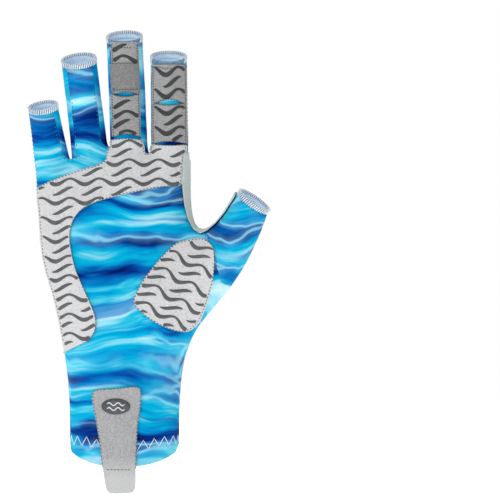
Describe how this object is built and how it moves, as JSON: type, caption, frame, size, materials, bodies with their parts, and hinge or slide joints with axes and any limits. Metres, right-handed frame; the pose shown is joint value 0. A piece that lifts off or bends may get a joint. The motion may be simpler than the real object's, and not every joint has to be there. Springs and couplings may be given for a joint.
{
  "type": "fishing glove",
  "caption": "Right-hand fingerless fishing glove with a long cuff, blue water-pattern cloth, gripping leather patches on palm, thumb ball and fingers, a pull strap and an oval badge.",
  "frame": {"origin": "middle of the wrist opening, level with the lowest point of the hem", "axes": "+Z from the wrist towards the fingertips, -Y out of the palm, +X towards the thumb"},
  "size_m": [0.1327, 0.0473, 0.252],
  "materials": {
    "cloth": "smooth stretch knit with a printed water pattern",
    "leather": "matt synthetic leather with raised dark grip waves",
    "binding": "overlocked thread",
    "badge": "satin"
  },
  "bodies": {
    "root": {"back_panel": "cloth", "palm_panel": "cloth", "index_middle_side_strip": "cloth", "middle_ring_side_strip": "cloth", "ring_little_side_strip": "cloth", "thumb_sleeve": "cloth", "thumb_edge_binding": "binding", "index_edge_binding": "binding", "middle_edge_binding": "binding", "ring_edge_binding": "binding", "little_edge_binding": "binding", "palm_patch": "leather", "thenar_patch": "leather", "index_tip_patch": "leather", "index_middle_patch": "leather", "middle_tip_patch": "leather", "middle_middle_patch": "leather", "middle_pull_band": "leather", "thumb_web_patch": "leather", "pull_strap": "leather", "badge_backing": "leather", "badge_plate": "badge"}
  },
  "joints": []
}
